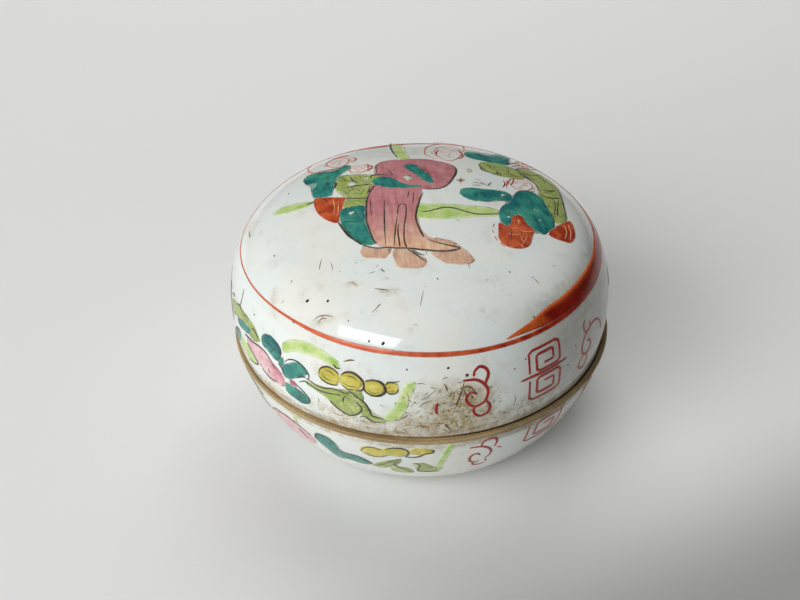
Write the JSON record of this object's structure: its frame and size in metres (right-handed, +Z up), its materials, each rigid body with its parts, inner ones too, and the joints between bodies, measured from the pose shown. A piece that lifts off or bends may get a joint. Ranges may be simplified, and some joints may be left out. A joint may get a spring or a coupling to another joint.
{
  "type": "seal paste box",
  "caption": "Round porcelain box for seal paste: a domed lid sits loose on a footed dish that holds a cake of red paste; painted enamels.",
  "frame": {"origin": "centre of the foot ring's resting plane", "axes": "+Z up along the axis that lid and dish were turned about; -Y faces the viewer of the picture and +X is to the viewer's right"},
  "size_m": [0.0872, 0.0872, 0.0555],
  "materials": {
    "porcelain": "glossy cool white glaze with painted enamels, bare biscuit at rim, flange and foot",
    "seal_paste": "matt to oily vermilion paste with fibres"
  },
  "bodies": {
    "dish": {"dish": "porcelain", "seal_paste": "seal_paste"},
    "lid": {"lid": "porcelain"}
  },
  "joints": [
    {"name": "lid_lift", "type": "slide", "parent": "dish", "child": "lid", "axis": [0, 0, 1], "range_m": [0, 0.06]}
  ]
}
